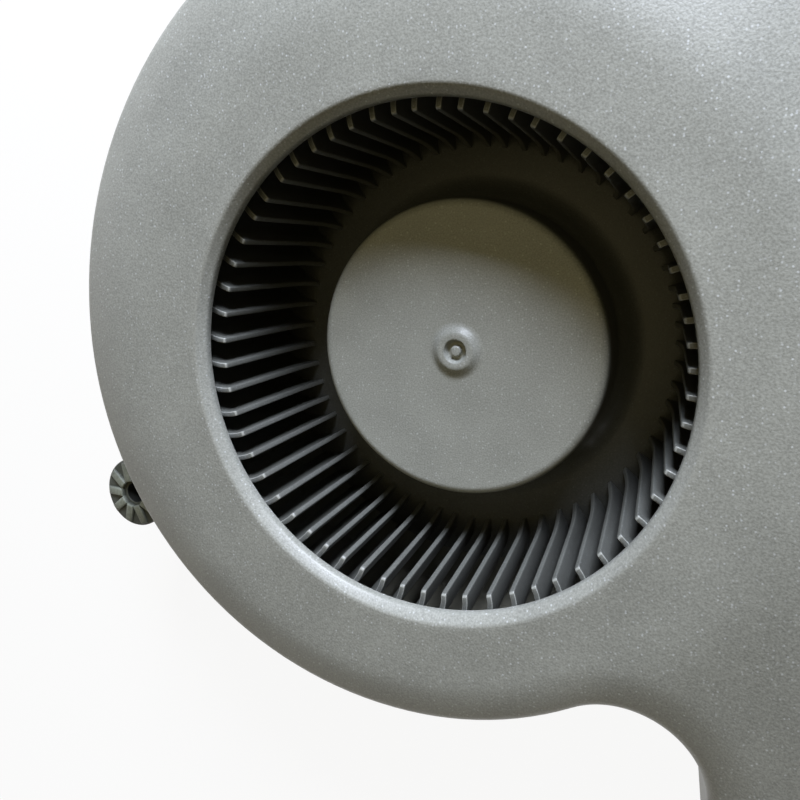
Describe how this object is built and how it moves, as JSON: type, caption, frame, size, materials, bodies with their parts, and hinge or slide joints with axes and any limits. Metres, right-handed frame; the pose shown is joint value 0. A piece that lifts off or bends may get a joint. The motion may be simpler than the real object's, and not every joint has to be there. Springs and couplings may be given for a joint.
{
  "type": "centrifugal blower fan",
  "caption": "Flat centrifugal blower fan with a grey scroll housing, a round inlet over a squirrel-cage impeller, a rectangular side outlet and rubber-grommet mounting ears.",
  "frame": {"origin": "the impeller's axis on the plane of the base", "axes": "+Z along the impeller's axis out of the inlet, -Y out of the outlet, +X from the axis towards the outlet duct"},
  "size_m": [0.1466, 0.1421, 0.032],
  "materials": {
    "casing_plastic": "fine sparkling grain",
    "cover_plastic": "fine sparkling grain",
    "impeller_plastic": "fine sparkling grain",
    "grommet_rubber": "matte",
    "screw_steel": "zinc plated",
    "tube_brass": "turned",
    "sleeve_bronze": "sintered",
    "pale_plastic": "natural nylon",
    "core_steel": "stacked sheet",
    "winding_copper": "enamelled wire",
    "board_laminate": "solder mask",
    "chip_plastic": "matte",
    "capacitor_body": "ceramic",
    "yoke_steel": "drawn sheet",
    "magnet_ferrite": "bonded ferrite",
    "shaft_steel": "ground"
  },
  "bodies": {
    "housing": {"scroll_casing": "casing_plastic", "inlet_cover": "cover_plastic", "cover_screws": "screw_steel", "grommets": "grommet_rubber", "bearing_tube": "tube_brass", "bearing_sleeve": "sleeve_bronze", "thrust_plate": "pale_plastic", "stator_core": "core_steel", "upper_insulator": "pale_plastic", "lower_insulator": "pale_plastic", "windings": "winding_copper", "terminal_pins": "tube_brass", "circuit_board": "board_laminate", "driver_chip": "chip_plastic", "hall_sensor": "chip_plastic", "chip_capacitors": "capacitor_body"},
    "rotor": {"impeller": "impeller_plastic", "rotor_yoke": "yoke_steel", "magnet_ring": "magnet_ferrite", "rotor_shaft": "shaft_steel", "shaft_bushing": "tube_brass", "retaining_ring": "pale_plastic", "oil_ring": "chip_plastic"}
  },
  "joints": [
    {"name": "impeller_spin", "type": "hinge", "parent": "housing", "child": "rotor", "pos_m": [0, 0, 0], "axis": [0, 0, 1], "continuous": true}
  ]
}
